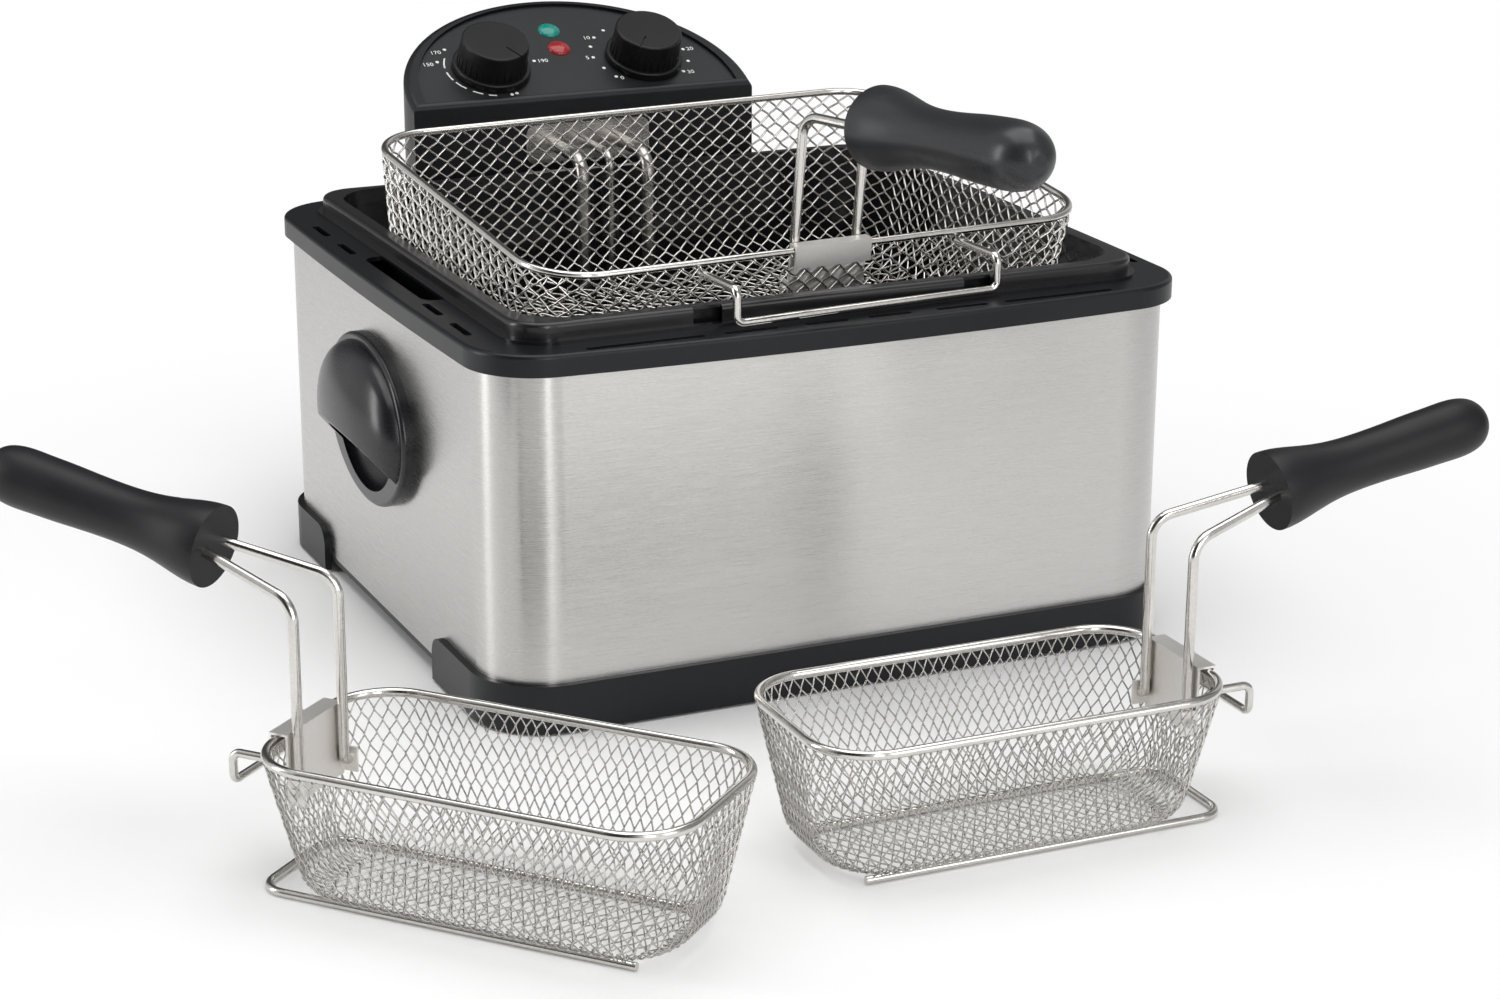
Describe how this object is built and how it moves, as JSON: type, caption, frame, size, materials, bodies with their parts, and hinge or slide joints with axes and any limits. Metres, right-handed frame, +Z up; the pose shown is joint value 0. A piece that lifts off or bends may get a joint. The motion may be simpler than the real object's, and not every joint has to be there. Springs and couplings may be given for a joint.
{
  "type": "deep fryer",
  "caption": "Electric deep fryer with a steel casing, lift-out pot and control unit, a hung wire basket, and small baskets with folding handles.",
  "frame": {"origin": "middle of the whole set's floor area, on the table", "axes": "+Z up, the fryer's front faces -Y, +X to the right as seen from the front"},
  "size_m": [0.6877, 0.7527, 0.3242],
  "materials": {
    "casing_steel": "brushed upright",
    "body_plastic": "fine grained",
    "pot_enamel": "non-stick black",
    "panel_plastic": "satin",
    "knob_plastic": "satin gloss",
    "grip_plastic": "soft satin",
    "mesh_steel": "plated wire mesh",
    "wire_steel": "plated wire",
    "element_steel": "plain tube",
    "bracket_steel": "plain sheet",
    "foot_rubber": "matt",
    "screw_steel": "plain",
    "shaft_steel": "turned",
    "green_lens": "clear tinted",
    "red_lens": "clear tinted",
    "lamp_glass": "clear",
    "pin_brass": "plain",
    "cutout_ceramic": "plain",
    "inner_plastic": "plain"
  },
  "bodies": {
    "fryer_body": {"outer_casing": "casing_steel", "base_tray": "body_plastic", "rubber_feet": "foot_rubber", "base_screws": "screw_steel", "top_frame": "body_plastic", "left_side_handle": "body_plastic", "right_side_handle": "body_plastic", "handle_screws": "screw_steel", "rear_guide": "body_plastic"},
    "oil_pot": {"oil_pot": "pot_enamel"},
    "control_unit": {"control_housing": "body_plastic", "control_panel": "panel_plastic", "rear_cover": "body_plastic", "power_inlet": "inner_plastic", "inlet_pins": "pin_brass", "cover_screws": "screw_steel", "terminal_block": "inner_plastic", "thermal_cutout": "cutout_ceramic", "safety_switch": "inner_plastic", "thermostat": "inner_plastic", "timer": "inner_plastic", "power_lens": "green_lens", "heat_lens": "red_lens", "power_lamp": "lamp_glass", "heat_lamp": "lamp_glass", "heating_element": "element_steel", "element_bracket": "bracket_steel", "sensor_rod": "element_steel"},
    "temperature_knob": {"temperature_knob": "knob_plastic", "temperature_shaft": "shaft_steel"},
    "timer_knob": {"timer_knob": "knob_plastic", "timer_shaft": "shaft_steel"},
    "large_basket": {"large_basket_mesh": "mesh_steel", "large_basket_rim": "wire_steel", "large_basket_bracket": "wire_steel", "large_basket_hook": "wire_steel"},
    "large_basket_handle": {"large_basket_handle_wire": "wire_steel", "large_basket_grip": "grip_plastic"},
    "left_basket": {"left_basket_mesh": "mesh_steel", "left_basket_rim": "wire_steel", "left_basket_bracket": "wire_steel", "left_basket_hook": "wire_steel", "left_basket_foot": "wire_steel"},
    "left_basket_handle": {"left_basket_handle_wire": "wire_steel", "left_basket_grip": "grip_plastic"},
    "right_basket": {"right_basket_mesh": "mesh_steel", "right_basket_rim": "wire_steel", "right_basket_bracket": "wire_steel", "right_basket_hook": "wire_steel", "right_basket_foot": "wire_steel"},
    "right_basket_handle": {"right_basket_handle_wire": "wire_steel", "right_basket_grip": "grip_plastic"}
  },
  "joints": [
    {"name": "pot_lift", "type": "slide", "parent": "fryer_body", "child": "oil_pot", "axis": [0, 0, 1], "range_m": [0, 0.16]},
    {"name": "control_unit_lift", "type": "slide", "parent": "oil_pot", "child": "control_unit", "axis": [0, 0, 1], "range_m": [0, 0.16]},
    {"name": "large_basket_lift", "type": "slide", "parent": "control_unit", "child": "large_basket", "axis": [0, 0, 1], "range_m": [0, 0.14]},
    {"name": "large_handle_fold", "type": "hinge", "parent": "large_basket", "child": "large_basket_handle", "pos_m": [0.10581, -0.03224, 0.20443], "axis": [-0.9976, -0.0698, 0], "range_deg": [0, 90]},
    {"name": "temperature_turn", "type": "hinge", "parent": "control_unit", "child": "temperature_knob", "pos_m": [0.0493, 0.31481, 0.26462], "axis": [0, 0.4384, -0.8988], "range_deg": [0, 270]},
    {"name": "timer_turn", "type": "hinge", "parent": "control_unit", "child": "timer_knob", "pos_m": [0.1493, 0.31481, 0.26462], "axis": [0, 0.4384, -0.8988], "range_deg": [0, 300]},
    {"name": "left_basket_lift", "type": "slide", "parent": "fryer_body", "child": "left_basket", "axis": [0, 0, 1], "range_m": [0, 0.12]},
    {"name": "left_handle_fold", "type": "hinge", "parent": "left_basket", "child": "left_basket_handle", "pos_m": [-0.22434, -0.20069, 0.04805], "axis": [0.7524, 0.6587, 0], "range_deg": [0, 90]},
    {"name": "right_basket_lift", "type": "slide", "parent": "fryer_body", "child": "right_basket", "axis": [0, 0, 1], "range_m": [0, 0.12]},
    {"name": "right_handle_fold", "type": "hinge", "parent": "right_basket", "child": "right_basket_handle", "pos_m": [0.1694, -0.28374, 0.04805], "axis": [-0.0087, -1, 0], "range_deg": [0, 90]}
  ]
}
